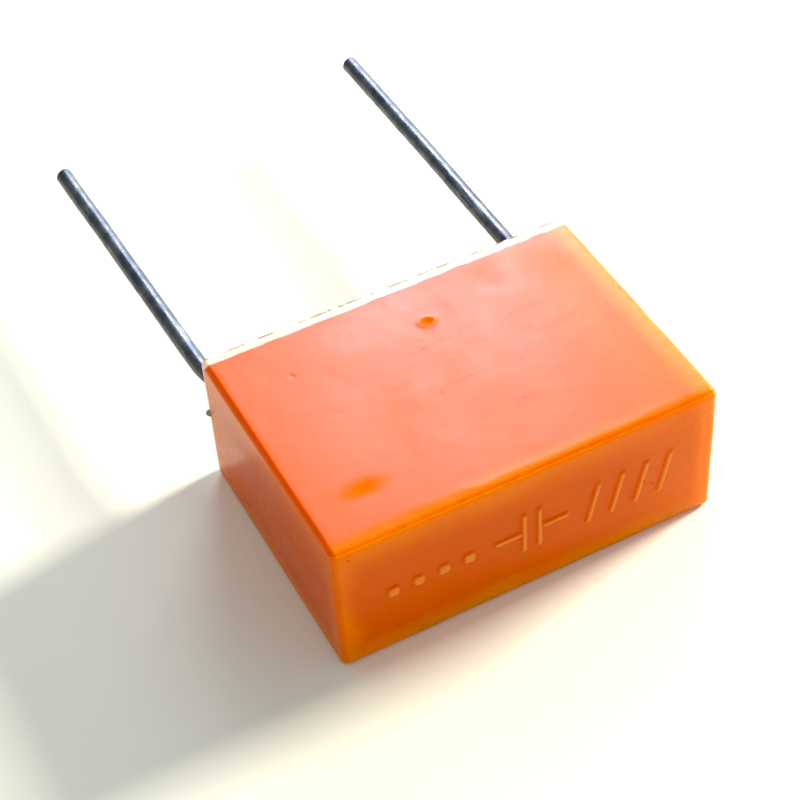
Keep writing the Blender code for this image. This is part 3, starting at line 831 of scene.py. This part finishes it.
def resin_slab(walls, wires, top_y, rim_y):
    """The upper layer of the casting, as one closed mesh under its finely shaped surface."""
    (x0, x1), (z0, z1) = walls
    reach, lines = WIRE_ZONE
    zones = [np.linspace(max(w[0] - reach, x0), min(w[0] + reach, x1), lines) for w in wires]
    xs = np.unique(np.concatenate([np.linspace(x0, x1, RESIN_CELLS[0])] + zones))
    zs = np.linspace(z0, z1, RESIN_CELLS[1])
    grid_x, grid_z = np.meshgrid(xs, zs, indexing="ij")
    flat = np.stack([grid_x.ravel(), np.full(grid_x.size, top_y), grid_z.ravel()], 1)
    flat[:, 1] = np.minimum(top_y + resin_height(flat, walls, wires), rim_y)
    nx, nz = len(xs), len(zs)
    count = nx * nz
    floor = flat.copy()
    floor[:, 1] = top_y - RESIN_DEPTH
    top_ring = [i * nz + j for i, j in perimeter(nx, nz)]
    low_ring = list(range(count, count + len(top_ring)))
    faces = [(i * nz + j, i * nz + j + 1, (i + 1) * nz + j + 1, (i + 1) * nz + j)
             for i in range(nx - 1) for j in range(nz - 1)]
    for k in range(len(top_ring)):
        n = (k + 1) % len(top_ring)
        faces.append((top_ring[k], top_ring[n], low_ring[n], low_ring[k]))
    faces.append(tuple(reversed(low_ring)))
    slab = bpy.data.meshes.new("slab")
    slab.from_pydata((np.vstack([flat, floor[top_ring]]) * MM).tolist(), [], faces)
    face_outwards(slab)
    return slab


def wire_hole(wx, wz, top_y):
    """A round cutter where a wire leaves the casting."""
    bm = bmesh.new()
    place = Matrix.Translation(Vector((wx, top_y, wz)) * MM) @ Matrix.Rotation(-math.pi / 2, 4, "X")
    bmesh.ops.create_cone(bm, cap_ends=True, segments=48, radius1=WIRE_HOLE * MM,
                          radius2=WIRE_HOLE * MM, depth=3 * MM, matrix=place)
    hole = bpy.data.meshes.new("hole")
    bm.to_mesh(hole)
    bm.free()
    return hole


def build_resin():
    """The casting: its CAD body under a finely shaped surface that climbs the walls and wires."""
    rim_y = box_mm("potting_resin")[1][1]
    case_low, case_high = box_mm("case")
    top_y = case_high[1] - RESIN_BELOW_RIM
    walls = [(case_low[k] + WALL + RESIN_GAP, case_high[k] - WALL - RESIN_GAP) for k in (0, 2)]
    lines = [centreline(node) for node in ("lead_left", "lead_right")]
    wires = [(line[1, 0], line[1, 2]) for line in lines]
    slab = resin_slab(walls, wires, top_y, rim_y)
    slab = combine(slab, [wire_hole(wx, wz, top_y) for wx, wz in wires], "DIFFERENCE")
    whole = combine(slab, [cad_copy("potting_resin")], "UNION")
    return finish_piece("resin_casting", whole, RESIN, ("potting_resin",), 40)


def build_bead(low, high):
    """A small drop of resin that ran over the rim, half-way up the left side."""
    bm = bmesh.new()
    bmesh.ops.create_uvsphere(bm, u_segments=28, v_segments=18, radius=1.0)
    centre = Vector((low[0] + BEAD_PLACE[0], high[1] - BEAD_PLACE[1], BEAD_PLACE[2]))
    size = Vector(BEAD_SIZE)
    for v in bm.verts:
        p = np.array(v.co)[None, :]
        swell = 1 + 0.12 * waves(p, 1.6, 41)[0]
        tail = 1 - 0.25 * max(-v.co.y, 0.0)
        v.co = Vector((centre.x + v.co.x * size.x * swell * tail,
                       centre.y + v.co.y * size.y * swell,
                       centre.z + v.co.z * size.z * swell * tail)) * MM
    mesh = bpy.data.meshes.new("resin_bead")
    bm.to_mesh(mesh)
    bm.free()
    return finish_piece("resin_bead", mesh, bead_material())


# ---------------------------------------------------------------- stage

def build_floor():
    bm = bmesh.new()
    bmesh.ops.create_grid(bm, x_segments=2, y_segments=2, size=FLOOR_SIZE / 2 * MM)
    mesh = bpy.data.meshes.new("floor")
    bm.to_mesh(mesh)
    bm.free()
    mesh.materials.append(floor_material())
    floor = bpy.data.objects.new("floor", mesh)
    bpy.context.scene.collection.objects.link(floor)


def aim(obj, direction_back, roll=0.0):
    """Turns an object so that its -Z looks against direction_back."""
    obj.rotation_mode = "QUATERNION"
    turn = (-direction_back).to_track_quat("-Z", "Y").to_matrix().to_4x4()
    obj.rotation_quaternion = (turn @ Matrix.Rotation(roll, 4, "Z")).to_quaternion()


def build_lights():
    """Area lights, the cards that only show as reflections, and an even pale surround."""
    for name, values in (LIGHTS | CARDS).items():
        azimuth, elevation, distance, width, height, watts, colour = values
        a, e = math.radians(azimuth), math.radians(elevation)
        back = Vector((math.sin(a) * math.cos(e), math.cos(a) * math.cos(e), math.sin(e)))
        data = bpy.data.lights.new(name, "AREA")
        data.shape = "RECTANGLE"
        data.size, data.size_y = width * MM, height * MM
        data.energy = watts
        data.color = colour
        lamp = bpy.data.objects.new(name, data)
        lamp.location = back * distance * MM
        aim(lamp, back)
        lamp.visible_camera = False
        lamp.visible_diffuse = name in LIGHTS
        bpy.context.scene.collection.objects.link(lamp)
    world = bpy.data.worlds.new("studio")
    world.use_nodes = True
    sky = world.node_tree.nodes["Background"]
    sky.inputs["Color"].default_value = (*WORLD_COLOUR, 1.0)
    sky.inputs["Strength"].default_value = WORLD_STRENGTH
    bpy.context.scene.world = world


def build_camera():
    back = Vector((math.sin(VIEW_AZIMUTH) * math.cos(VIEW_ELEVATION),
                   -math.cos(VIEW_AZIMUTH) * math.cos(VIEW_ELEVATION), math.sin(VIEW_ELEVATION)))
    data = bpy.data.cameras.new("camera")
    data.lens, data.sensor_width = LENS, SENSOR_WIDTH
    data.clip_start, data.clip_end = CLIP
    camera = bpy.data.objects.new("camera", data)
    camera.location = VIEW_TARGET + back * VIEW_DISTANCE
    aim(camera, back, VIEW_ROLL)
    bpy.context.scene.collection.objects.link(camera)
    bpy.context.scene.camera = camera


# ---------------------------------------------------------------- everything

WIRE = wire_material()
RESIN = resin_material()
CLEAR_FILM = film_material("clear_film", (0.62, 0.6, 0.52), (0.8, 0.78, 0.7), 0.0)
SILVER_FILM = film_material("silver_film", (0.55, 0.57, 0.6), (0.78, 0.8, 0.83), 1.0)
SPRAY = grainy_metal("sprayed_zinc", (0.3, 0.3, 0.31), (0.52, 0.52, 0.53), 9.0, 0.6, 0.9, 0.05)
SOLDER = grainy_metal("dull_solder", (0.42, 0.42, 0.41), (0.66, 0.66, 0.64), 2.0, 0.25, 0.45, 0.03)
INNER_NODES = {
    "winding_core": CLEAR_FILM, "outer_wrap": CLEAR_FILM, "film_web_a": SILVER_FILM,
    "film_web_b": SILVER_FILM, "end_spray_left": SPRAY, "end_spray_right": SPRAY,
    "solder_joint_left": SOLDER, "solder_joint_right": SOLDER,
}

build_camera()
build_lights()
build_floor()
case_low, case_high = box_mm("case")
build_case(case_low, case_high)
build_resin()
build_bead(case_low, case_high)
build_lead("lead_left", 51)
build_lead("lead_right", 61)
for node, material in INNER_NODES.items():
    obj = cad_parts[node]
    obj.data.materials.clear()
    obj.data.materials.append(material)

settings = bpy.context.scene.view_settings
settings.view_transform = "Standard"
settings.use_curve_mapping = True
settings.curve_mapping.black_level = (BLACK_LEVEL,) * 3
